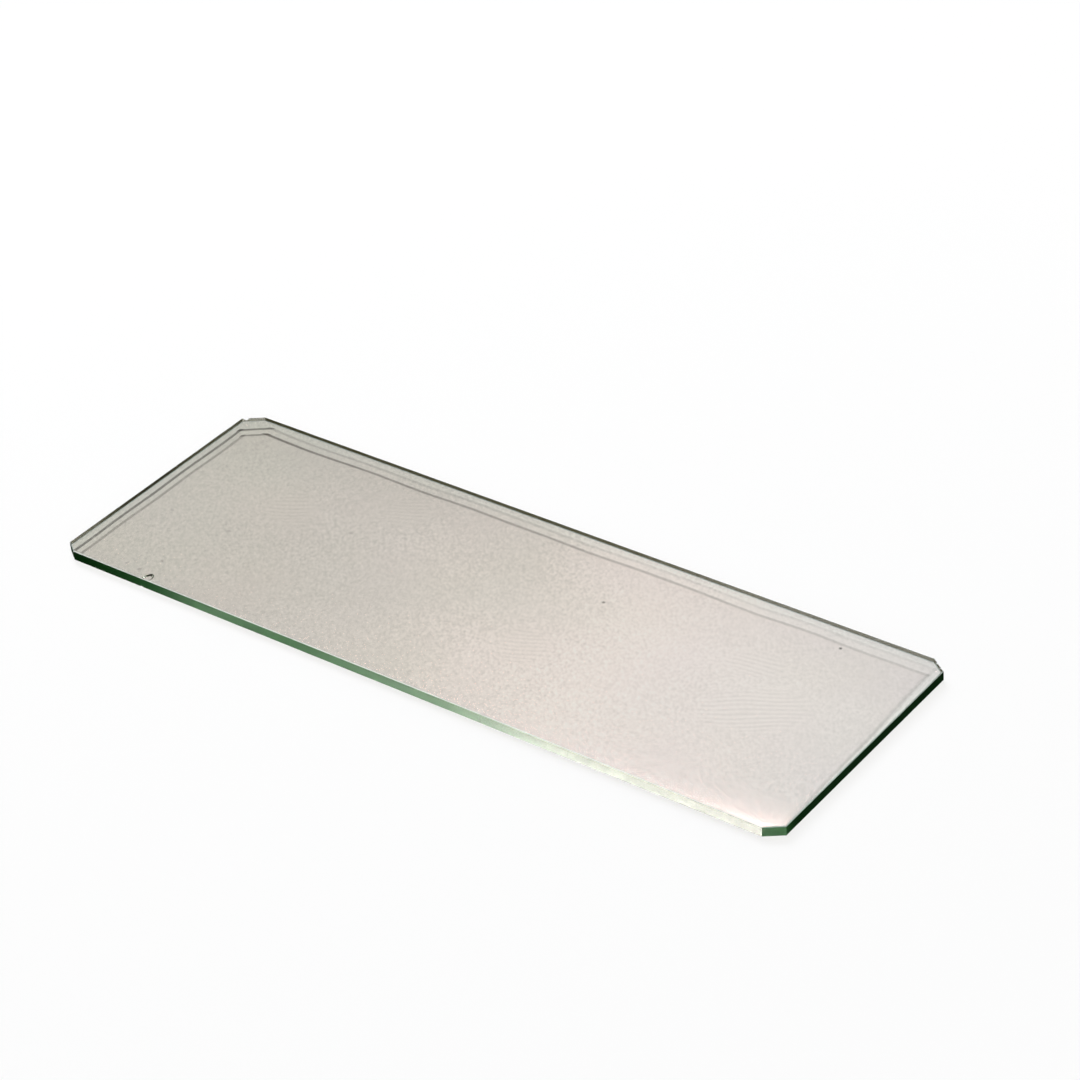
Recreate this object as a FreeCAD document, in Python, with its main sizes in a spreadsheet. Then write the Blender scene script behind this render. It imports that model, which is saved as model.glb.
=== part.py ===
"""Microscope slide, 76 x 26 mm: one flat plate of clear glass with clipped corners.

Frame: origin at the centre of the underside, +X along the length, +Y towards the rear long edge,
+Z up. The plate is scored and snapped from sheet glass, its corners are clipped at a slant, its
edges are seamed to a fine arris, and small shell-shaped flakes have broken out of it in use.
Lengths are in millimetres.
"""
import FreeCAD, Part
import math
import os

import Sketcher

SHEET_NAME = "Sizes"
PLATE_NAME = "glass_plate"
ORIGIN_POINT = (-1, 1)
LINE_START, LINE_END = 1, 2
VOLUME_TOLERANCE = 1e-6

# Driving dimensions. A corner cut's leg is stated along the long edge; its other leg, along the
# short edge, is that times corner_slant.
PLATE_SIZES = {
    "slide_length": 76.0,
    "slide_width": 26.0,
    "slide_thickness": 1.0,
    "arris_width": 0.07,
    "corner_slant": 0.72,
    "corner_left_front": 1.3,
    "corner_right_front": 1.55,
    "corner_right_rear": 1.55,
    "corner_left_rear": 1.8,
}

# Each flake left a hollow shaped like a mussel shell. It is centred on or just inside an edge of
# the plate, at (x, y) on the underside or the top, and is (along, inward, deep) in half sizes,
# turned about Z by turn degrees so that inward points into the glass.
FLAKES = {
    "front_flake": {"x": -28.62, "y": -12.33, "on_top": False,
                    "along": 0.42, "inward": 0.76, "deep": 0.34, "turn": -14.0},
    "rear_corner_flake": {"x": -37.64, "y": 11.91, "on_top": True,
                          "along": 0.32, "inward": 0.25, "deep": 0.28, "turn": 144.0},
    "right_corner_flake": {"x": 36.95, "y": 12.57, "on_top": True,
                           "along": 0.26, "inward": 0.20, "deep": 0.22, "turn": -144.0},
    "right_corner_chip": {"x": 37.62, "y": 12.11, "on_top": True,
                          "along": 0.16, "inward": 0.14, "deep": 0.16, "turn": -144.0},
}


def make_sheet(doc):
    """Keep every driving dimension in one spreadsheet, each cell under its own alias."""
    sheet = doc.addObject("Spreadsheet::Sheet", SHEET_NAME)
    sizes = dict(PLATE_SIZES)
    for name, flake in FLAKES.items():
        for key in ("x", "y", "along", "inward", "deep", "turn"):
            sizes[f"{name}_{key}"] = flake[key]
    for row, (alias, value) in enumerate(sizes.items(), start=1):
        sheet.set(f"A{row}", alias)
        sheet.set(f"B{row}", str(value))
        sheet.setAlias(f"B{row}", alias)
    doc.recompute()
    return sheet


def sized(alias):
    """Name a sheet cell in an expression."""
    return f"{SHEET_NAME}.{alias}"


def origin_plane(body, role):
    """Return one of the body's own origin planes."""
    return next(feature for feature in body.Origin.OriginFeatures if feature.Role == role)


def bind_distance(sketch, name, kind, first, second, expression):
    """Add a named distance between two sketch points and drive it from the sheet."""
    index = sketch.addConstraint(Sketcher.Constraint(kind, *first, *second, 1.0))
    sketch.renameConstraint(index, name)
    sketch.setExpression(f"Constraints.{name}", expression)


def outline_points(sheet):
    """Corner points of the outline, counter-clockwise from the left end of the front edge."""
    half_length = sheet.slide_length / 2
    half_width = sheet.slide_width / 2
    points = []
    corners = (
        (-1, -1, sheet.corner_left_front, False),
        (1, -1, sheet.corner_right_front, True),
        (1, 1, sheet.corner_right_rear, False),
        (-1, 1, sheet.corner_left_rear, True),
    )
    for side_x, side_y, leg, long_edge_first in corners:
        on_long_edge = (side_x * (half_length - leg), side_y * half_width)
        on_short_edge = (side_x * half_length, side_y * (half_width - leg * sheet.corner_slant))
        pair = (on_long_edge, on_short_edge) if long_edge_first else (on_short_edge, on_long_edge)
        points.extend(FreeCAD.Vector(x, y, 0) for x, y in pair)
    return points


def draw_outline(body, sheet):
    """Sketch the eight-sided outline: two long edges, two short edges and four corner cuts."""
    sketch = body.newObject("Sketcher::SketchObject", "outline")
    sketch.AttachmentSupport = (origin_plane(body, "XY_Plane"), [""])
    sketch.MapMode = "FlatFace"
    points = outline_points(sheet)
    following = points[1:] + points[:1]
    sketch.addGeometry([Part.LineSegment(a, b) for a, b in zip(points, following)], False)
    count = len(points)
    for line in range(count):
        joint = (line, LINE_END, (line + 1) % count, LINE_START)
        sketch.addConstraint(Sketcher.Constraint("Coincident", *joint))

    cut_left_front, front, cut_right_front, right, cut_right_rear, rear, cut_left_rear, left = range(count)
    for line in (front, rear):
        sketch.addConstraint(Sketcher.Constraint("Horizontal", line))
    for line in (right, left):
        sketch.addConstraint(Sketcher.Constraint("Vertical", line))
    half_length = sized("slide_length") + " / 2"
    half_width = sized("slide_width") + " / 2"
    bind_distance(sketch, "to_front", "DistanceY", (front, LINE_START), ORIGIN_POINT, half_width)
    bind_distance(sketch, "to_rear", "DistanceY", ORIGIN_POINT, (rear, LINE_START), half_width)
    bind_distance(sketch, "to_right", "DistanceX", ORIGIN_POINT, (right, LINE_START), half_length)
    bind_distance(sketch, "to_left", "DistanceX", (left, LINE_START), ORIGIN_POINT, half_length)

    # Each cut is given with its two ends in the order of growing x, then of growing y.
    cuts = {
        "corner_left_front": (cut_left_front, LINE_START, LINE_END, LINE_END, LINE_START),
        "corner_right_front": (cut_right_front, LINE_START, LINE_END, LINE_START, LINE_END),
        "corner_right_rear": (cut_right_rear, LINE_END, LINE_START, LINE_START, LINE_END),
        "corner_left_rear": (cut_left_rear, LINE_END, LINE_START, LINE_END, LINE_START),
    }
    for alias, (line, low_x, high_x, low_y, high_y) in cuts.items():
        leg = sized(alias)
        slanted_leg = f"{leg} * {sized('corner_slant')}"
        bind_distance(sketch, f"{alias}_long", "DistanceX", (line, low_x), (line, high_x), leg)
        bind_distance(sketch, f"{alias}_short", "DistanceY", (line, low_y), (line, high_y), slanted_leg)
    return sketch


def pad_plate(body, sketch):
    """Raise the outline to the thickness of the sheet glass."""
    pad = body.newObject("PartDesign::Pad", "plate")
    pad.Profile = sketch
    pad.setExpression("Length", sized("slide_thickness"))
    return pad


def seam_edges(body, plate):
    """Break every sharp edge round the top and the underside with one narrow arris."""
    rims = []
    for number, edge in enumerate(plate.Shape.Edges, start=1):
        heights = [vertex.Z for vertex in edge.Vertexes]
        if math.isclose(heights[0], heights[-1], abs_tol=1e-6):
            rims.append(f"Edge{number}")
    arris = body.newObject("PartDesign::Chamfer", "arris")
    arris.Base = (plate, rims)
    arris.setExpression("Size", sized("arris_width"))
    return arris


def break_flake(body, name, flake):
    """Cut one flake's hollow: an ellipsoid that runs out at the edge the flake broke from."""
    hollow = body.newObject("PartDesign::SubtractiveEllipsoid", name)
    hollow.setExpression("Radius1", sized(f"{name}_deep"))
    hollow.setExpression("Radius2", sized(f"{name}_along"))
    hollow.setExpression("Radius3", sized(f"{name}_inward"))
    hollow.setExpression("Placement.Base.x", sized(f"{name}_x"))
    hollow.setExpression("Placement.Base.y", sized(f"{name}_y"))
    if flake["on_top"]:
        hollow.setExpression("Placement.Base.z", sized("slide_thickness"))
    hollow.setExpression("Placement.Rotation.Angle", sized(f"{name}_turn"))
    return hollow


def build_plate(doc, sheet):
    """Model the slide as one body, and check that each cut takes glass away."""
    body = doc.addObject("PartDesign::Body", PLATE_NAME)
    body.Label = PLATE_NAME
    body.Placement = FreeCAD.Placement()
    sketch = draw_outline(body, sheet)
    plate = pad_plate(body, sketch)
    doc.recompute()
    cut_from = plate.Shape.Volume
    features = [seam_edges(body, plate)]
    features += [break_flake(body, name, flake) for name, flake in FLAKES.items()]
    doc.recompute()
    for feature in features:
        volume = feature.Shape.Volume
        if not volume < cut_from - VOLUME_TOLERANCE:
            raise RuntimeError(f"{feature.Name} cuts nothing")
        print(f"{feature.Name}: removes {cut_from - volume:.4f} mm3")
        cut_from = volume
    return body


def check_document(doc):
    """Stop if anything in the document failed to compute."""
    for item in doc.Objects:
        if "Invalid" in item.State or "Error" in item.State:
            raise RuntimeError(f"{item.Name} did not compute: {item.State}")


def export_body(body):
    """Write the body's solid to parts/, under the body's label."""
    shape = body.Shape
    if shape.isNull() or not shape.isValid() or len(shape.Solids) != 1:
        raise RuntimeError(f"{body.Label} is not one valid solid")
    os.makedirs("parts", exist_ok=True)
    shape.exportStep(os.path.join("parts", f"{body.Label}.step"))
    box = shape.optimalBoundingBox()
    print(f"{body.Label}: {box.XLength:.3f} x {box.YLength:.3f} x {box.ZLength:.3f} mm, "
          f"{shape.Volume:.2f} mm3, {len(shape.Faces)} faces")


def main():
    doc = FreeCAD.newDocument("microscope_slide")
    sheet = make_sheet(doc)
    body = build_plate(doc, sheet)
    check_document(doc)
    export_body(body)


main()
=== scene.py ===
"""Looks of the microscope slide: one pane of clear, faintly green glass on a white table.

The pane is modelled afresh as one closed mesh with worn arrises, snapped edges and the shell-shaped
hollows that flakes have left. It replaces the CAD plate and has the same outline and thickness.
Lengths named here are in millimetres, and angles in degrees. Everything that Blender is given is in
metres and radians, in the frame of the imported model: +X along the slide, +Y to its rear edge, +Z up
from the middle of the underside.
"""

import math

import bmesh
import bpy
from mathutils import Matrix, Vector, noise


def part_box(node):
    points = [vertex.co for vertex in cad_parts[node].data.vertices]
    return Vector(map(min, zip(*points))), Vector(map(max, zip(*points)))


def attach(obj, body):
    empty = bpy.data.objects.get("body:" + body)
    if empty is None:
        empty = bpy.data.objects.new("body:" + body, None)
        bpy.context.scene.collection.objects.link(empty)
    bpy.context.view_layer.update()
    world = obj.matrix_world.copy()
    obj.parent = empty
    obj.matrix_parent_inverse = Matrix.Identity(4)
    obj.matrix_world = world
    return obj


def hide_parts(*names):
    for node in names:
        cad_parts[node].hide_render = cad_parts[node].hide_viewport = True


MM = 0.001
BLACK = (0.0, 0.0, 0.0)
WHITE = (1.0, 1.0, 1.0)
NODE = "glass_plate"

# The plate's outline and arris, as the CAD model has them. A corner cut's leg is measured along the
# long edge, and its other leg, along the short edge, is that times the slant. What lies above the
# middle height belongs to the top.
CORNER_LEGS = {"left_front": 1.3, "right_front": 1.55, "right_rear": 1.55, "left_rear": 1.8}
CORNER_SLANT = 0.72
ARRIS_WIDTH = 0.07
MIDDLE_HEIGHT = 0.5

# How finely the rim is divided, and how far hand seaming and snapping leave it uneven.
COLUMN_STEP = 0.25
FEWEST_COLUMNS = 2
EDGE_LEVELS = 5
ARRIS_BULGE = 0.1
ARRIS_WANDER = 0.3
WANDER_LENGTH = 1.7
HACKLE_DEPTH = 0.004
HACKLE_LENGTH = 0.6

# The hollows that flakes left, as half sizes along the edge, into the plate and down from the face
# that each is centred on, and the angle about Z that turns "into the plate" from +Y.
FLAKES = {
    "front_flake": {"centre": (-28.62, -12.33), "on_top": False,
                    "half": (0.42, 0.76, 0.34), "turn": -14.0},
    "rear_corner_flake": {"centre": (-37.64, 11.91), "on_top": True,
                          "half": (0.32, 0.25, 0.28), "turn": 144.0},
    "right_corner_flake": {"centre": (36.95, 12.57), "on_top": True,
                           "half": (0.26, 0.20, 0.22), "turn": -144.0},
    "right_corner_chip": {"centre": (37.62, 12.11), "on_top": True,
                          "half": (0.16, 0.14, 0.16), "turn": -144.0},
}
FLAKE_SMOOTHNESS = 5
RIB_SPACING = 0.16
RIB_DEPTH = 0.035

# The numbers that the mesh stores about its rim, and whether each is a face's or a face corner's.
# A face belongs to the rim if it is within reach of the outline and tilted. It belongs to an arris
# if it is tilted but not upright. The height of its normal says how it lies: 1 is level, 0 upright.
# Edges that are sharper than the angle are shaded as sharp.
RIM_MARKS = {"edge": "FACE", "arris": "FACE", "clearness_and_light": "CORNER", "dullness_and_shade": "CORNER"}
RIM_REACH = 0.11
RIM_LEVEL = 0.95
ARRIS_UPRIGHT = 0.3
SHARP_ANGLE = 28.0

# How clear each side of the rim is, from 0, dark, to 1, as clear as the faces. This also holds painted
# light and shade: the front edge runs from dark at the left to clear at the right, and the right end
# is dark, fixed to places on the rim and not made by the lamps. Sides run counter-clockwise from the
# left end of the front edge, and each has pairs of a place along it, from 0 to 1, and the clearness
# there.
CLEARNESS_AND_LIGHT = {
    "front": ((0.0, 0.13), (0.065, 0.21), (0.12, 0.3), (0.174, 0.445), (0.23, 0.505), (0.34, 0.46),
              (0.45, 0.545), (0.5, 0.6), (0.556, 0.62), (0.61, 0.715), (0.666, 0.83), (0.72, 0.96),
              (0.76, 1.0), (1.0, 1.0)),
    "right_front_cut": ((0.0, 0.48), (1.0, 0.42)),
    "right": ((0.0, 0.24), (0.06, 0.13), (1.0, 0.11)),
    "right_rear_cut": ((0.0, 1.0), (1.0, 1.0)),
    "rear": ((0.0, 1.0), (0.4, 0.9), (1.0, 0.7)),
    "left_rear_cut": ((0.0, 1.0), (1.0, 1.0)),
    "left": ((0.0, 0.7), (0.3, 0.6), (0.5, 0.3), (0.7, 0.45), (0.9, 0.9), (1.0, 0.9)),
    "left_front_cut": ((0.0, 0.2), (1.0, 0.2)),
}
SIDES = tuple(CLEARNESS_AND_LIGHT)

# How much of the light that a side would mirror inside the glass is swallowed and shown as a dull grey
# instead: painted shade, set at places along each side to darken the rim there.
DULLNESS_AND_SHADE = {
    "front": ((0.0, 0.35), (0.72, 0.05), (1.0, 0.05)),
    "right_front_cut": ((0.0, 0.8), (1.0, 0.8)),
    "right": ((0.0, 0.8), (1.0, 0.8)),
    "right_rear_cut": ((0.0, 0.8), (1.0, 0.8)),
    "rear": ((0.0, 0.75), (0.25, 0.76), (0.43, 0.92), (0.78, 0.96), (1.0, 1.0)),
    "left_rear_cut": ((0.0, 0.45), (1.0, 0.45)),
    "left": ((0.0, 0.88), (0.3, 0.865), (0.5, 0.93), (0.7, 0.9), (0.9, 0.75), (1.0, 0.75)),
    "left_front_cut": ((0.0, 0.8), (1.0, 0.8)),
}

# The glass, and the faces. The grease on a face gives what it mirrors a peach tint. A shadow colour
# is how much of the lamps' light comes through to the table.
GLASS_IOR = 1.52
ABSORPTION = 40.0
ABSORPTION_COLOR = (0.083, 0.417, 0.133)
FACE_ROUGHNESS = 0.033
FACE_SPECULAR = 0.5
FACE_SHINE = (1.0, 0.55, 0.47)
FACE_SHADOW = (1.0, 0.985, 0.975)

# The snapped edges, which don't shine. The less clear an edge is, the less light it lets through and
# the deeper its green is: each of red, green and blue falls as a power of the clearness, so the
# painted light and shade in the clearness shows as paler or deeper green. Where it would mirror more
# than a share of the light inside, it is dull, and the dull colour, a painted shade of dark grey,
# takes over.
EDGE_TINT = (1.0, 0.65, 0.82)
EDGE_DEPTH = (3.5, 1.88, 3.2)
EDGE_PASSES = 1.5
EDGE_SPECULAR = 0.0
EDGE_SHINE = (0.0, 0.0, 0.0)
EDGE_ROUGHNESS = 0.25
EDGE_SHADOW = (0.87, 0.87, 0.87)
DULL_SHADE_COLOR = (0.1, 0.1, 0.05)
DULL_FROM = 0.5

# The ground arrises: their colour and the light they let through, along an edge that is bright and
# along one that is dull. They follow the rim's painted shade, darker where the rim is dull.
ARRIS_COLOR = ((0.95, 0.96, 0.9), (0.3, 0.36, 0.35))
ARRIS_PASSES = (0.05, 0.5)
ARRIS_ROUGHNESS = 0.4

# The film of dust and grease on the faces, with painted light and shade: its colour goes from grey at
# the left to warm white at the right, in bands that slant across the slide and wander, fixed to the
# slide and not made by the lamps. Each stop is a place, as x less the slant times y, the colour there,
# and how strong the grain is. Towards the rear, from one y to another, less light gets through, in the
# end that share of it. The colour is slightly mottled too.
FILM_SLANT = -0.1
FILM_AND_SHADE_STOPS = (
    (-38.0, (0.680, 0.628, 0.585), 0.19),
    (-14.0, (0.752, 0.672, 0.642), 0.18),
    (0.0, (0.830, 0.746, 0.704), 0.24),
    (10.0, (1.0, 0.866, 0.835), 0.19),
    (22.0, (0.990, 0.880, 0.865), 0.135),
    (44.0, (0.870, 0.815, 0.827), 0.13),
)
FILM_REAR = (3.0, 11.0, 0.945)
FILM_WANDER = 6.0
FILM_WANDER_SIZE = 12.0
MOTTLE_SIZE = 11.0
MOTTLE_DETAIL = 1.0
MOTTLE_AMOUNT = 0.03

# The film's grain: how large it is, the line that it is stretched along, and how its strength varies
# from patch to patch. Noise stays near its middle, so only that part of its range is made use of.
GRAIN_SIZE = 0.27
GRAIN_DETAIL = 2.0
GRAIN_TURN = -51.0
GRAIN_STRETCH = 1.4
GRAIN_NOISE = (0.25, 0.75)
PATCH_SIZE = 7.0
PATCH_RANGE = (0.8, 1.25)
PATCH_NOISE = (0.3, 0.7)

# Pale flecks of dust: how far apart there are places for one, how many of those have one, how far a
# fleck reaches, and how much brighter it is than the film.
DUST_SPACING = 1.3
DUST_SHARE = 0.35
DUST_REACH = 0.14
DUST_SHINE = 1.12

# Painted shadow lines just inside each side's end, on the underside and on the top, and closer to the
# edge at the side's start. The film begins there, and each line lets this much light through. Towards
# the right the lines fade. Outside them the glass is painted lighter.
SHADOW_LINES_BORDER = {
    "right": {"inset": (1.25, 0.82), "closer": 0.9, "through": (0.3, 0.4)},
    "rear": {"inset": (1.85, 1.4), "closer": 0.0, "through": (0.12, 0.6)},
    "left_rear_cut": {"inset": (2.45, 2.15), "closer": 0.0, "through": (0.3, 0.15)},
    "left": {"inset": (1.65, 1.3), "closer": 0.0, "through": (0.4, 0.15)},
}
BORDER_WIDTH = 0.42
BORDER_WANDER = 0.25
BORDER_WANDER_SIZE = 9.0
BORDER_FADE = 0.7
MARGIN_PAINTED_LIGHT = (1.08, 1.12, 1.11)

# Where fingers have touched the top, how far each mark reaches along and across its ridges, and how
# far the ridges turn from +X. A mark fades towards its outline, and there is less grain in it.
FINGER_MARKS = (
    {"centre": (6.2, -3.4), "reach": (3.1, 3.3), "turn": 23.0},
    {"centre": (27.6, -0.8), "reach": (5.8, 3.6), "turn": 31.0},
    {"centre": (24.4, 4.6), "reach": (3.0, 2.0), "turn": 9.0},
    {"centre": (-24.2, 2.4), "reach": (2.9, 3.0), "turn": 27.0},
    {"centre": (-14.6, 7.4), "reach": (2.6, 2.8), "turn": 26.0},
)
RIDGE_SPACING = 0.55
RIDGE_WAVE = 1.5
RIDGE_WAVE_SIZE = 4.0
RIDGE_AMOUNT = 0.07
MARK_SOFTNESS = 0.45
MARK_SMOOTHS = 0.6

# Specks of dirt on the top: where each is, how far it reaches, and how much light it lets through.
SPECKS = (
    (8.3, 5.2, 0.18, 0.1),
    (29.1, 10.1, 0.2, 0.1),
    (14.5, -5.5, 0.14, 1.3),
    (-28.2, -12.2, 0.3, 0.05),
    (-29.7, -12.0, 0.25, 0.6),
    (-28.8, -10.0, 0.2, 0.6),
    (-26.8, -3.4, 0.25, 0.7),
    (-31.3, -11.8, 0.2, 0.7),
    (-17.1, 2.1, 0.2, 0.6),
    (-33.4, -3.4, 0.2, 0.7),
)

# The table, which has no sheen. To the eye it goes from what the lamps make of it, at the nearer of
# two distances from the slide's middle, to an even white at the farther one.
TABLE_COLOR = (0.95, 0.95, 0.95)
TABLE_GAP = 0.03
TABLE_REACH = 6000.0
TABLE_FADE = (60.0, 150.0)
TABLE_ROUGHNESS = 0.6
TABLE_SPECULAR = 0.0

# The lamps, as seen from the slide, with their distance and their sizes in metres. A lamp of
# radiance 1 looks as bright as white paper does, and takes this many watts a square metre. The fill
# lights the scene but isn't seen in the glass.
LAMP_DISTANCE = 3.0
LAMP_WATTS = 4.0
SOFTBOX_RADIANCE = 15.9
SOFTBOX_AZIMUTH = 234.37
SOFTBOX_ELEVATION = 41.91
SOFTBOX_ROLL = -28.8
SOFTBOX_SIZE = (1.6, 0.85)
FILL_RADIANCE = 5.0
FILL_AZIMUTH = 50.0
FILL_ELEVATION = 28.0
FILL_SIZE = (1.6, 1.6)
OVERHEAD_RADIANCE = 0.15
OVERHEAD_AZIMUTH = 0.0
OVERHEAD_ELEVATION = 90.0
OVERHEAD_SIZE = (3.6, 3.6)

# The walls. They are dim as light, and white where the camera sees them, as it does in the glass
# too, but only low down: they go dim between these two sines of the elevation.
STUDIO_DIM = 0.15
BACKDROP_TOP = (0.2, 0.35)

# The camera: what it looks at, where it stands as seen from there, its roll, its lens, and how near
# it sees.
AIM = (-2.9, 11.1, 0.0)
CAMERA_AZIMUTH = 38.82
CAMERA_ELEVATION = 34.34
CAMERA_DISTANCE = 309.8
CAMERA_ROLL = -4.37
CAMERA_LENS = 116.7
CAMERA_NEAR = 10.0

# How often light may bounce, which is often when it runs along inside the glass.
INNER_BOUNCES = 64


# ---------------------------------------------------------------------------------------- the pane

def plate_corners(low, high):
    """The outline's eight corners, counter-clockwise from the left end of the front edge."""
    ends = (
        ("left_front", low.x, low.y, False),
        ("right_front", high.x, low.y, True),
        ("right_rear", high.x, high.y, False),
        ("left_rear", low.x, high.y, True),
    )
    corners = []
    for name, x, y, long_edge_first in ends:
        leg = CORNER_LEGS[name] * MM
        on_long_edge = Vector((x - math.copysign(leg, x), y))
        on_short_edge = Vector((x, y - math.copysign(leg * CORNER_SLANT, y)))
        pair = (on_long_edge, on_short_edge) if long_edge_first else (on_short_edge, on_long_edge)
        corners.extend(pair)
    return corners[1:] + corners[:1]


def inward(start, end):
    """The level direction into the plate from a side that runs counter-clockwise."""
    along = (end - start).normalized()
    return Vector((-along.y, along.x))


def inset_corners(corners, inset):
    """The outline's corners once every side has moved in by the inset."""
    moved = []
    for index, corner in enumerate(corners):
        before = inward(corners[index - 1], corner)
        after = inward(corner, corners[(index + 1) % len(corners)])
        moved.append(corner + (before + after) * inset / (1 + before.dot(after)))
    return moved


def wander(x, y, z, length):
    """Smooth noise from -1 to 1 whose bumps are about the length, in millimetres, across."""
    return noise.noise(Vector((x, y, z)) / (length * MM))


def rim_ring(corners, steps, inset, height, unevenness, grain):
    """One ring of points round the rim: the inset outline, uneven inwards except at its corners."""
    ring = []
    inner = inset_corners(corners, inset)
    for side, count in enumerate(steps):
        start, end = inner[side], inner[(side + 1) % len(inner)]
        into = inward(start, end)
        for step in range(count):
            point = start.lerp(end, step / count)
            if step:
                rough = (1 + wander(point.x, point.y, height, grain)) / 2
                point = point + into * rough * unevenness
            ring.append((point.x, point.y, height))
    return ring


def rim_profile(thickness):
    """The rim's section from underside to top: pairs of inset and height, as the arrises shape it."""
    arris = ARRIS_WIDTH * MM
    middle = arris * (0.5 - ARRIS_BULGE)
    levels = [(arris, 0.0), (middle, middle)]
    for level in range(EDGE_LEVELS):
        levels.append((0.0, arris + (thickness - 2 * arris) * level / (EDGE_LEVELS - 1)))
    levels += [(middle, thickness - middle), (arris, thickness)]
    return levels


def build_pane(low, high):
    """Model the pane as rings of quads round its rim, closed by a flat face above and below."""
    corners = plate_corners(low, high)
    sides = [(corners[(i + 1) % len(corners)] - corners[i]).length for i in range(len(corners))]
    steps = [max(FEWEST_COLUMNS, round(length / (COLUMN_STEP * MM))) for length in sides]
    thickness = high.z - low.z
    shape = bmesh.new()
    rings = []
    for inset, height in rim_profile(thickness):
        on_edge = inset == 0.0
        unevenness = HACKLE_DEPTH * MM if on_edge else ARRIS_WANDER * ARRIS_WIDTH * MM
        grain = HACKLE_LENGTH if on_edge else WANDER_LENGTH
        points = rim_ring(corners, steps, inset, low.z + height, unevenness, grain)
        rings.append([shape.verts.new(point) for point in points])
    for lower, upper in zip(rings, rings[1:]):
        for index in range(len(lower)):
            following = (index + 1) % len(lower)
            shape.faces.new((lower[index], lower[following], upper[following], upper[index]))
    shape.faces.new(rings[-1])
    shape.faces.new(reversed(rings[0]))
    return new_object("glass_slide", shape)


def new_object(name, shape):
    """Turn a bmesh into an object of the scene."""
    mesh = bpy.data.meshes.new(name)
    shape.to_mesh(mesh)
    shape.free()
    piece = bpy.data.objects.new(name, mesh)
    bpy.context.scene.collection.objects.link(piece)
    return piece


def flake_cutter(name, flake, face_height):
    """A flake's own form: an ellipsoid ribbed at even distances from the blow that broke it off."""
    shape = bmesh.new()
    bmesh.ops.create_icosphere(shape, subdivisions=FLAKE_SMOOTHNESS, radius=1.0)
    half = Vector(flake["half"])
    for vertex in shape.verts:
        point = vertex.co * half
        rib = math.cos(math.tau * point.length / RIB_SPACING)
        vertex.co = point * (1 + RIB_DEPTH * rib) * MM
    place = Matrix.Translation((flake["centre"][0] * MM, flake["centre"][1] * MM, face_height))
    shape.transform(place @ Matrix.Rotation(math.radians(flake["turn"]), 4, "Z"))
    return new_object(name, shape)


def cut_flakes(pane, low, high):
    """Take the flakes' hollows out of the pane, and keep what is left as the pane's own mesh."""
    cutters = []
    for name, flake in FLAKES.items():
        cutter = flake_cutter(name, flake, high.z if flake["on_top"] else low.z)
        cut = pane.modifiers.new(name, "BOOLEAN")
        cut.operation = "DIFFERENCE"
        cut.solver = "EXACT"
        cut.object = cutter
        cutters.append(cutter)
    graph = bpy.context.evaluated_depsgraph_get()
    whole = pane.data
    pane.data = bpy.data.meshes.new_from_object(pane.evaluated_get(graph))
    pane.data.name = pane.name
    pane.modifiers.clear()
    bpy.data.meshes.remove(whole)
    for cutter in cutters:
        bpy.data.meshes.remove(cutter.data)


# ------------------------------------------------------------------------- what the rim looks like

def nearest_side(point, corners):
    """The side nearest to a point, and how deep inside it the point is."""
    depths = []
    for index, start in enumerate(corners):
        end = corners[(index + 1) % len(corners)]
        depths.append((point.xy - start).dot(inward(start, end)))
    side = depths.index(min(depths))
    return side, depths[side]


def along_side(point, corners, side):
    """How far along a side a point is, from 0 at its start to 1 at its end."""
    start, end = corners[side], corners[(side + 1) % len(corners)]
    along = (point.xy - start).dot(end - start) / (end - start).length_squared
    return min(max(along, 0.0), 1.0)


def between(stops, place):
    """The value at a place, straight between the stops on its two sides."""
    for (start, low_value), (end, high_value) in zip(stops, stops[1:]):
        if place <= end:
            return low_value + (high_value - low_value) * (place - start) / (end - start)
    return stops[-1][1]


def mark_rim(pane, low, high):
    """Store on the mesh which faces are rim, which are arris, and the rim's looks with its painted
    shade.
    """
    mesh = pane.data
    corners = plate_corners(low, high)
    for name, domain in RIM_MARKS.items():
        mesh.attributes.new(name, "FLOAT", domain)
    edge, arris, clearness_and_light, dullness_and_shade = [mesh.attributes[name] for name in RIM_MARKS]
    looks = ((clearness_and_light, tuple(CLEARNESS_AND_LIGHT.values())), (dullness_and_shade, tuple(DULLNESS_AND_SHADE.values())))
    for face in mesh.polygons:
        side, depth = nearest_side(face.center, corners)
        on_rim = depth < RIM_REACH * MM and abs(face.normal.z) < RIM_LEVEL
        edge.data[face.index].value = float(on_rim)
        arris.data[face.index].value = float(on_rim and abs(face.normal.z) > ARRIS_UPRIGHT)
        for loop in face.loop_indices:
            along = along_side(mesh.vertices[mesh.loops[loop].vertex_index].co, corners, side)
            for attribute, sides in looks:
                attribute.data[loop].value = between(sides[side], along) if on_rim else 1.0
    mesh.shade_smooth()
    mesh.set_sharp_from_angle(angle=math.radians(SHARP_ANGLE))


# ------------------------------------------------------------------------------- node tree helpers

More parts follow.
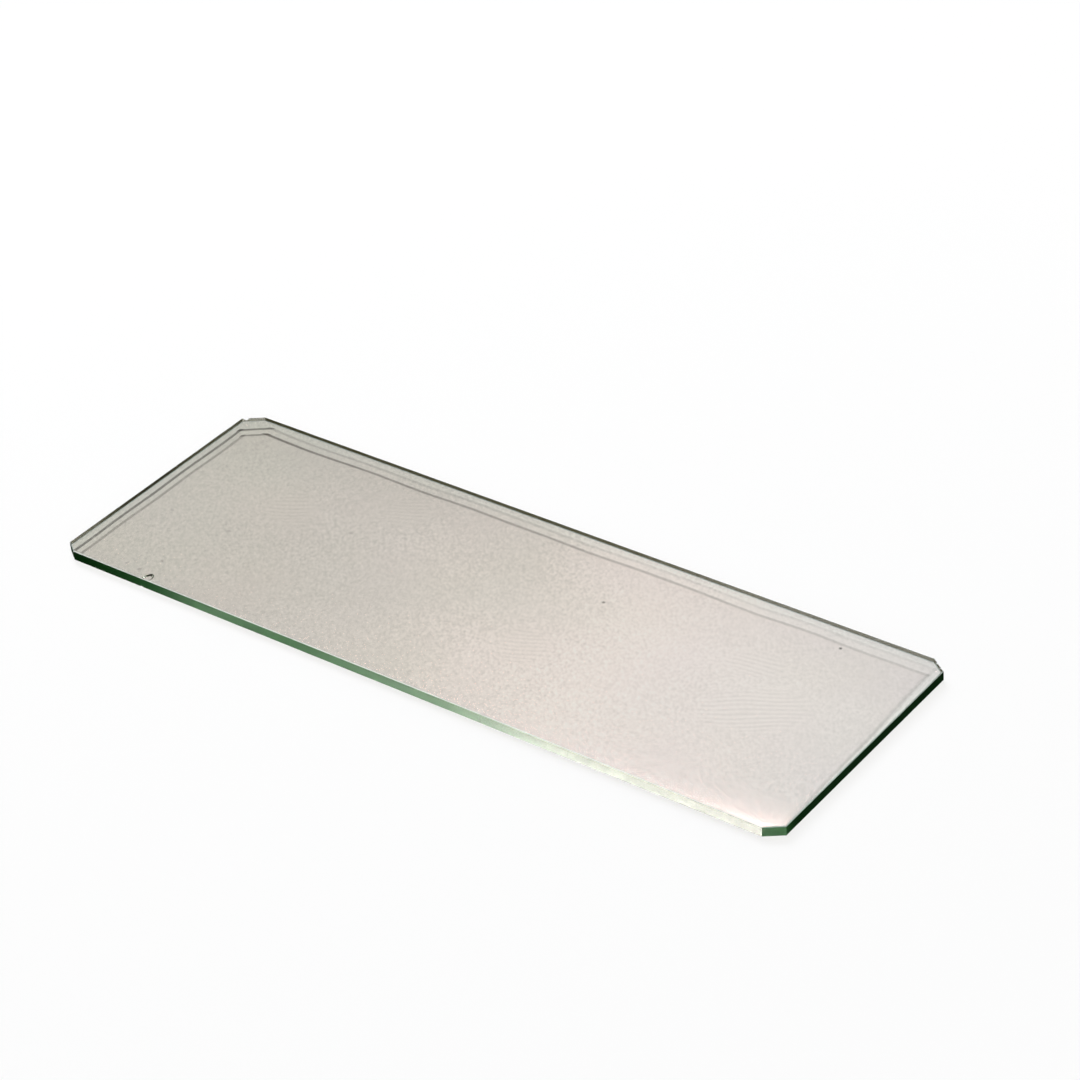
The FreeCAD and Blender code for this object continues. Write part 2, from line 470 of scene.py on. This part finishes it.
class Tree:
    """A node tree being written. Each call adds a node, and most return its output."""

    def __init__(self, owner):
        owner.use_nodes = True
        self.nodes = owner.node_tree.nodes
        self.links = owner.node_tree.links
        self.nodes.clear()

    def plug(self, socket, value):
        """Link the socket if the value is another node's output, and set it otherwise."""
        if isinstance(value, bpy.types.NodeSocket):
            self.links.new(value, socket)
        else:
            socket.default_value = value

    def add(self, kind, sockets=None, **settings):
        """Add a node with these settings and these values or links on its inputs."""
        node = self.nodes.new(kind)
        for name, value in settings.items():
            setattr(node, name, value)
        for name, value in (sockets or {}).items():
            self.plug(node.inputs[name], value)
        return node

    def math(self, operation, *values):
        """Work on numbers."""
        node = self.nodes.new("ShaderNodeMath")
        node.operation = operation
        for socket, value in zip(node.inputs, values):
            self.plug(socket, value)
        return node.outputs[0]

    def ramp(self, value, low, high, from_low=0.0, from_high=1.0):
        """Carry a value from one range to another, and stop at its ends."""
        sockets = {"Value": value, "From Min": from_low, "From Max": from_high,
                   "To Min": low, "To Max": high}
        return self.add("ShaderNodeMapRange", sockets).outputs["Result"]

    def colors(self, factor, first, second, blend="MIX"):
        """Mix two colours by a factor, in one of Blender's ways."""
        node = self.nodes.new("ShaderNodeMix")
        node.data_type = "RGBA"
        node.blend_type = blend
        # The sockets for colours share their names with others, so they go by number.
        factor_socket, first_socket, second_socket = node.inputs[0], node.inputs[6], node.inputs[7]
        self.plug(factor_socket, factor)
        self.plug(first_socket, opaque(first))
        self.plug(second_socket, opaque(second))
        return node.outputs[2]

    def attribute(self, name):
        """Read one of the numbers that the mesh stores."""
        return self.add("ShaderNodeAttribute", attribute_name=name).outputs["Fac"]

    def vector(self, operation, first, second):
        """Work on two vectors. A dot product or a distance comes out as a number."""
        node = self.add("ShaderNodeVectorMath", {0: first, 1: second}, operation=operation)
        return node.outputs["Value" if operation in ("DOT_PRODUCT", "DISTANCE") else "Vector"]

    def scaled(self, vector, factor):
        """A vector, or a colour, times a number."""
        sockets = {0: vector, "Scale": factor}
        return self.add("ShaderNodeVectorMath", sockets, operation="SCALE").outputs["Vector"]

    def grain(self, place, size, detail=0.0):
        """Noise from 0 to 1 whose grains are about the size, in millimetres, across."""
        sockets = {"Vector": place, "Scale": 1 / size, "Detail": detail}
        return self.add("ShaderNodeTexNoise", sockets).outputs["Fac"]


def opaque(color):
    """A plain colour with its alpha of 1. A socket is left as it is."""
    return color if isinstance(color, bpy.types.NodeSocket) else (*color, 1.0)


# --------------------------------------------------------------------------------------- materials

def border_depth(tree, place, start, end, border, on_top, drift):
    """How far a place is inside the line where the film begins along one side."""
    closer = border["closer"]
    lean = inward(start, end) - (end - start) * closer / (end - start).length_squared
    across = tree.vector("DOT_PRODUCT", place, (*lean, 0.0))
    inset = tree.ramp(on_top, *border["inset"])
    begins = tree.math("ADD", tree.math("ADD", inset, start.dot(lean) - closer), drift)
    return tree.math("SUBTRACT", across, begins)


def shadow_lines_border(tree, place, corners, on_top, fade):
    """Where the film lies, from 0 to 1, and how much light the painted shadow lines round it let
    through.
    """
    drift = tree.ramp(tree.grain(place, BORDER_WANDER_SIZE), -BORDER_WANDER, BORDER_WANDER)
    nearest, lines = None, 1.0
    for name, border in SHADOW_LINES_BORDER.items():
        side = SIDES.index(name)
        start, end = corners[side] / MM, corners[(side + 1) % len(corners)] / MM
        depth = border_depth(tree, place, start, end, border, on_top, drift)
        through = tree.ramp(on_top, *border["through"])
        darkest = tree.ramp(fade, through, 1.0)
        away = tree.math("ABSOLUTE", depth)
        line = tree.ramp(away, darkest, 1.0, BORDER_WIDTH / 4, BORDER_WIDTH / 2)
        lines = tree.math("MULTIPLY", lines, line)
        nearest = tree.math("MINIMUM", nearest, depth) if nearest else depth
    inside = tree.ramp(nearest, 0.0, 1.0, -BORDER_WIDTH / 2, BORDER_WIDTH / 2)
    reached = tree.math("GREATER_THAN", nearest, -BORDER_WIDTH / 2)
    return inside, tree.ramp(reached, 1.0, lines)


def finger_mark(tree, place, mark):
    """How much of a place a finger has touched, from 0 to 1, and its ridges there, from -1 to 1."""
    turn = math.radians(mark["turn"])
    from_centre = tree.vector("SUBTRACT", place, (*mark["centre"], 0.0))
    along = tree.vector("DOT_PRODUCT", from_centre, (math.cos(turn), math.sin(turn), 0.0))
    across = tree.vector("DOT_PRODUCT", from_centre, (-math.sin(turn), math.cos(turn), 0.0))
    parts = [tree.math("DIVIDE", part, reach) for part, reach in zip((along, across), mark["reach"])]
    squares = [tree.math("MULTIPLY", part, part) for part in parts]
    away = tree.math("SQRT", tree.math("ADD", *squares))
    touched = tree.ramp(away, 1.0, 0.0, 1.0 - MARK_SOFTNESS, 1.0)
    bend = tree.math("MULTIPLY", tree.grain(place, RIDGE_WAVE_SIZE), RIDGE_WAVE * math.tau)
    phase = tree.math("MULTIPLY_ADD", across, math.tau / RIDGE_SPACING, bend)
    return touched, tree.math("SINE", phase)


def finger_marks(tree, place):
    """How much fingers have touched a place, from 0 to 1, and their ridges there, from -1 to 1."""
    touched = 0.0
    ridges = 0.0
    for mark in FINGER_MARKS:
        reached, ridge = finger_mark(tree, place, mark)
        touched = tree.math("ADD", touched, reached)
        ridges = tree.math("MULTIPLY_ADD", reached, ridge, ridges)
    return touched, ridges


def streaks(tree, place):
    """A place on the film, shifted so that what is drawn evenly there comes out stretched."""
    sockets = {"Vector": place, "Rotation": (0.0, 0.0, math.radians(GRAIN_TURN)),
               "Scale": (GRAIN_STRETCH, 1.0, 1.0)}
    return tree.add("ShaderNodeMapping", sockets, vector_type="TEXTURE").outputs["Vector"]


def film_grain(tree, place, streaked):
    """The film's grain, from -1 to 1, stronger in some patches than in others."""
    patches = tree.ramp(tree.grain(place, PATCH_SIZE), *PATCH_RANGE, *PATCH_NOISE)
    grain = tree.ramp(tree.grain(streaked, GRAIN_SIZE, GRAIN_DETAIL), -1.0, 1.0, *GRAIN_NOISE)
    return tree.math("MULTIPLY", grain, patches)


def dust_shine(tree, streaked, on_top):
    """How much brighter dust makes a place: 1 where there is none."""
    cells = tree.add("ShaderNodeTexVoronoi", {"Vector": streaked, "Scale": 1 / DUST_SPACING})
    fleck = tree.ramp(cells.outputs["Distance"], 1.0, 0.0, 0.0, DUST_REACH / DUST_SPACING)
    cell = tree.add("ShaderNodeSeparateColor", {"Color": cells.outputs["Color"]}).outputs["Red"]
    dusty = tree.math("MULTIPLY", fleck, tree.math("LESS_THAN", cell, DUST_SHARE))
    return tree.ramp(tree.math("MULTIPLY", dusty, on_top), 1.0, DUST_SHINE)


def film_shade(tree, place, graininess, on_top):
    """How much light the top's grain, finger marks, dust and specks let through, 1 on the whole."""
    touched, ridges = finger_marks(tree, place)
    streaked = streaks(tree, place)
    grain = film_grain(tree, place, streaked)
    smoothed = tree.math("MULTIPLY_ADD", touched, -MARK_SMOOTHS, 1.0)
    amount = tree.math("MULTIPLY", graininess, smoothed)
    marks = tree.math("MULTIPLY_ADD", ridges, RIDGE_AMOUNT, tree.math("MULTIPLY", grain, amount))
    shade = tree.math("MULTIPLY_ADD", marks, on_top, 1.0)
    shade = tree.math("MULTIPLY", shade, dust_shine(tree, streaked, on_top))
    level = tree.vector("MULTIPLY", place, (1.0, 1.0, 0.0))
    for x, y, reach, through in SPECKS:
        away = tree.vector("DISTANCE", level, (x, y, 0.0))
        speck = tree.ramp(away, tree.ramp(on_top, 1.0, through), 1.0, reach / 2, reach)
        shade = tree.math("MULTIPLY", shade, speck)
    return shade


def film_and_shade_bands(tree, toward_right):
    """The film's colour, with its painted light and shade, from left to right, and its grain's
    strength.
    """
    first, last = FILM_AND_SHADE_STOPS[0][0], FILM_AND_SHADE_STOPS[-1][0]
    bands = tree.add("ShaderNodeValToRGB", {"Fac": toward_right})
    bands.color_ramp.interpolation = "B_SPLINE"
    while len(bands.color_ramp.elements) < len(FILM_AND_SHADE_STOPS):
        bands.color_ramp.elements.new(1.0)
    for stop, (position, color, graininess) in zip(bands.color_ramp.elements, FILM_AND_SHADE_STOPS):
        stop.position = (position - first) / (last - first)
        stop.color = (*color, graininess)
    return bands.outputs["Color"], bands.outputs["Alpha"]


def film_and_painted_shade(tree, corners):
    """What the film on the faces lets through, with painted shade to the left and painted shadow
    lines.
    """
    metres = tree.add("ShaderNodeTexCoord").outputs["Object"]
    place = tree.scaled(metres, 1 / MM)
    split = tree.add("ShaderNodeSeparateXYZ", {"Vector": place})
    on_top = tree.math("GREATER_THAN", split.outputs["Z"], MIDDLE_HEIGHT)
    drift = tree.ramp(tree.grain(place, FILM_WANDER_SIZE), -FILM_WANDER, FILM_WANDER)
    straight = tree.math("MULTIPLY_ADD", split.outputs["Y"], -FILM_SLANT, split.outputs["X"])
    across = tree.math("ADD", straight, drift)
    toward_right = tree.ramp(across, 0.0, 1.0, FILM_AND_SHADE_STOPS[0][0], FILM_AND_SHADE_STOPS[-1][0])
    banded, graininess = film_and_shade_bands(tree, toward_right)
    mottle = tree.add("ShaderNodeTexNoise",
                      {"Vector": place, "Scale": 1 / MOTTLE_SIZE, "Detail": MOTTLE_DETAIL})
    tint = tree.colors(MOTTLE_AMOUNT, WHITE, mottle.outputs["Color"])
    film = tree.colors(1.0, banded, tint, "MULTIPLY")
    fade = tree.math("MULTIPLY", toward_right, BORDER_FADE)
    inside, lines = shadow_lines_border(tree, place, corners, on_top, fade)
    # Painted light: the margin outside the painted shadow lines is lighter than the film.
    film = tree.colors(1.0, film, tree.colors(inside, MARGIN_PAINTED_LIGHT, WHITE), "MULTIPLY")
    shade = tree.math("MULTIPLY", lines, film_shade(tree, place, graininess, on_top))
    rear_start, rear_end, rear_through = FILM_REAR
    rear = tree.ramp(split.outputs["Y"], 1.0, rear_through, rear_start, rear_end)
    return tree.scaled(film, tree.math("MULTIPLY", shade, rear))


def edge_color(tree, clearness_and_light, dullness_and_shade, arris, dull):
    """The rim's colour: deeper green where less clear, greyer where dull, both carrying painted shade.
    """
    levels = [tree.math("MULTIPLY", tree.math("POWER", clearness_and_light, depth), tint)
              for tint, depth in zip(EDGE_TINT, EDGE_DEPTH)]
    red, green, blue = levels
    snapped = tree.add("ShaderNodeCombineColor", {"Red": red, "Green": green, "Blue": blue})
    ground = tree.colors(dullness_and_shade, *ARRIS_COLOR)
    grey = tree.colors(clearness_and_light, BLACK, DULL_SHADE_COLOR)
    return tree.colors(dull, tree.colors(arris, snapped.outputs[0], ground), grey)


def glass_skin(tree, corners, edge):
    """The glass: filmed faces, a snapped rim and ground arrises, with painted light and shade on both.
    """
    arris = tree.attribute("arris")
    clearness_and_light = tree.attribute("clearness_and_light")
    dullness_and_shade = tree.attribute("dullness_and_shade")
    mirrored = tree.add("ShaderNodeFresnel", {"IOR": GLASS_IOR}).outputs[0]
    dull = tree.math("MULTIPLY", edge, tree.ramp(mirrored, 0.0, 1.0, DULL_FROM, 1.0))
    swallowed = tree.math("MULTIPLY", dull, dullness_and_shade)
    passes = tree.ramp(arris, tree.math("POWER", clearness_and_light, EDGE_PASSES),
                       tree.ramp(dullness_and_shade, *ARRIS_PASSES))
    rim_color = edge_color(tree, clearness_and_light, dullness_and_shade, arris, dull)
    rim_roughness = tree.ramp(arris, EDGE_ROUGHNESS, ARRIS_ROUGHNESS)
    glass = tree.add("ShaderNodeBsdfPrincipled", {
        "Base Color": tree.colors(edge, film_and_painted_shade(tree, corners), rim_color),
        "Roughness": tree.ramp(edge, FACE_ROUGHNESS, rim_roughness),
        "IOR": GLASS_IOR,
        "Transmission Weight": tree.math("MULTIPLY", passes, tree.math("SUBTRACT", 1.0, swallowed)),
        "Specular IOR Level": tree.ramp(edge, FACE_SPECULAR, EDGE_SPECULAR),
        "Specular Tint": tree.colors(edge, FACE_SHINE, EDGE_SHINE),
    })
    return glass.outputs[0]


def glass_material(corners):
    """One glass for the whole pane, so that light keeps its green all the way through.

    Light for the table, and light that the table gives back, goes straight through the surface: the
    pane is thin, and bent light would only be noise there.
    """
    material = bpy.data.materials.new("clear_glass")
    tree = Tree(material)
    edge = tree.attribute("edge")
    skin = glass_skin(tree, corners, edge)
    shade = tree.colors(edge, FACE_SHADOW, EDGE_SHADOW)
    shadow = tree.add("ShaderNodeBsdfTransparent", {"Color": shade}).outputs[0]
    path = tree.add("ShaderNodeLightPath").outputs
    lighting = tree.math("MAXIMUM", path["Is Shadow Ray"], path["Is Diffuse Ray"])
    surface = tree.add("ShaderNodeMixShader", {0: lighting, 1: skin, 2: shadow}).outputs[0]
    inside = tree.add("ShaderNodeVolumeAbsorption",
                      {"Color": opaque(ABSORPTION_COLOR), "Density": ABSORPTION}).outputs[0]
    tree.add("ShaderNodeOutputMaterial", {"Surface": surface, "Volume": inside})
    return material


def table_material():
    """Matt white with no sheen of its own, and to the eye an even white farther from the slide."""
    material = bpy.data.materials.new("white_table")
    tree = Tree(material)
    matt = tree.add("ShaderNodeBsdfPrincipled", {
        "Base Color": opaque(TABLE_COLOR),
        "Roughness": TABLE_ROUGHNESS,
        "Specular IOR Level": TABLE_SPECULAR,
    })
    even = tree.add("ShaderNodeEmission", {"Strength": 1.0})
    place = tree.scaled(tree.add("ShaderNodeTexCoord").outputs["Object"], 1 / MM)
    far = tree.ramp(tree.vector("DISTANCE", place, (0.0, 0.0, 0.0)), 0.0, 1.0, *TABLE_FADE)
    seen = tree.math("MULTIPLY", far, tree.add("ShaderNodeLightPath").outputs["Is Camera Ray"])
    surface = tree.add("ShaderNodeMixShader", {0: seen, 1: matt.outputs[0], 2: even.outputs[0]})
    tree.add("ShaderNodeOutputMaterial", {"Surface": surface.outputs[0]})
    return material


# ------------------------------------------------------------------------------ table, light, view

def add_table():
    """Lay a white table top, a hair below the pane so that their faces never share a plane."""
    shape = bmesh.new()
    reach, height = TABLE_REACH * MM, -TABLE_GAP * MM
    ends = ((-1, -1), (1, -1), (1, 1), (-1, 1))
    shape.faces.new([shape.verts.new((x * reach, y * reach, height)) for x, y in ends])
    table = new_object("table", shape)
    table.data.materials.append(table_material())


def direction(azimuth, elevation):
    """From the slide towards a place. Azimuth 0 is in front of it, and 90 is off its right end."""
    turn, rise = math.radians(azimuth), math.radians(elevation)
    return Vector((math.sin(turn) * math.cos(rise), -math.cos(turn) * math.cos(rise), math.sin(rise)))


def add_lamp(name, azimuth, elevation, size, radiance, roll=0.0):
    """Hang a rectangular lamp that looks at the slide."""
    data = bpy.data.lights.new(name, "AREA")
    data.shape = "RECTANGLE"
    data.size, data.size_y = size
    data.energy = LAMP_WATTS * radiance * size[0] * size[1]
    lamp = bpy.data.objects.new(name, data)
    lamp.location = direction(azimuth, elevation) * LAMP_DISTANCE
    facing = (-lamp.location).to_track_quat("-Z", "Y").to_matrix()
    lamp.rotation_euler = (facing @ Matrix.Rotation(math.radians(roll), 3, "Z")).to_euler()
    bpy.context.scene.collection.objects.link(lamp)
    return lamp


def add_lamps():
    """Hang a softbox behind on the left, a fill in front on the right, and a panel above."""
    add_lamp("softbox", SOFTBOX_AZIMUTH, SOFTBOX_ELEVATION, SOFTBOX_SIZE, SOFTBOX_RADIANCE,
             SOFTBOX_ROLL)
    fill = add_lamp("fill", FILL_AZIMUTH, FILL_ELEVATION, FILL_SIZE, FILL_RADIANCE)
    fill.visible_glossy = False
    fill.visible_transmission = False
    add_lamp("overhead", OVERHEAD_AZIMUTH, OVERHEAD_ELEVATION, OVERHEAD_SIZE, OVERHEAD_RADIANCE)


def build_walls():
    """Surround the slide with walls that are dim as light, and white to look at low down."""
    world = bpy.data.worlds.new("studio")
    tree = Tree(world)
    path = tree.add("ShaderNodeLightPath").outputs
    mirrored = tree.math("MAXIMUM", path["Is Glossy Ray"], path["Is Transmission Ray"])
    seen = tree.math("MAXIMUM", mirrored, path["Is Camera Ray"])
    toward = tree.add("ShaderNodeTexCoord").outputs["Generated"]
    height = tree.add("ShaderNodeSeparateXYZ", {"Vector": toward}).outputs["Z"]
    low_down = tree.ramp(height, 1.0, 0.0, *BACKDROP_TOP)
    strength = tree.ramp(tree.math("MULTIPLY", seen, low_down), STUDIO_DIM, 1.0)
    walls = tree.add("ShaderNodeBackground", {"Strength": strength})
    tree.add("ShaderNodeOutputWorld", {"Surface": walls.outputs[0]})
    bpy.context.scene.world = world


def add_camera():
    """Stand the camera in front on the right, where it looks down on the slide."""
    data = bpy.data.cameras.new("camera")
    data.lens = CAMERA_LENS
    data.clip_start = CAMERA_NEAR * MM
    camera = bpy.data.objects.new("camera", data)
    back = direction(CAMERA_AZIMUTH, CAMERA_ELEVATION)
    place = (Vector(AIM) + back * CAMERA_DISTANCE) * MM
    facing = (-back).to_track_quat("-Z", "Y").to_matrix().to_4x4()
    roll = Matrix.Rotation(math.radians(CAMERA_ROLL), 4, "Z")
    camera.matrix_world = Matrix.Translation(place) @ facing @ roll
    bpy.context.scene.collection.objects.link(camera)
    bpy.context.scene.camera = camera


def set_render():
    """Ask for plain colours, and for enough bounces for light that runs along inside the glass."""
    scene = bpy.context.scene
    scene.view_settings.view_transform = "Standard"
    scene.cycles.max_bounces = INNER_BOUNCES
    scene.cycles.glossy_bounces = INNER_BOUNCES
    scene.cycles.transmission_bounces = INNER_BOUNCES


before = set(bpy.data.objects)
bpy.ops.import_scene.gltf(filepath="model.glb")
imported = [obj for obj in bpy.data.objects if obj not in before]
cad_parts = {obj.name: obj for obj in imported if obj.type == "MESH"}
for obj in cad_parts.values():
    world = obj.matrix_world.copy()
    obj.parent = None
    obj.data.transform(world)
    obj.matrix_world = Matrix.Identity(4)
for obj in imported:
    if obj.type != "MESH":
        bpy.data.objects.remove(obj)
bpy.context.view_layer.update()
low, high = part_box(NODE)
pane = build_pane(low, high)
cut_flakes(pane, low, high)
mark_rim(pane, low, high)
pane.data.materials.append(glass_material(plate_corners(low, high)))
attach(pane, "root")
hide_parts(NODE)
add_table()
add_lamps()
build_walls()
add_camera()
set_render()
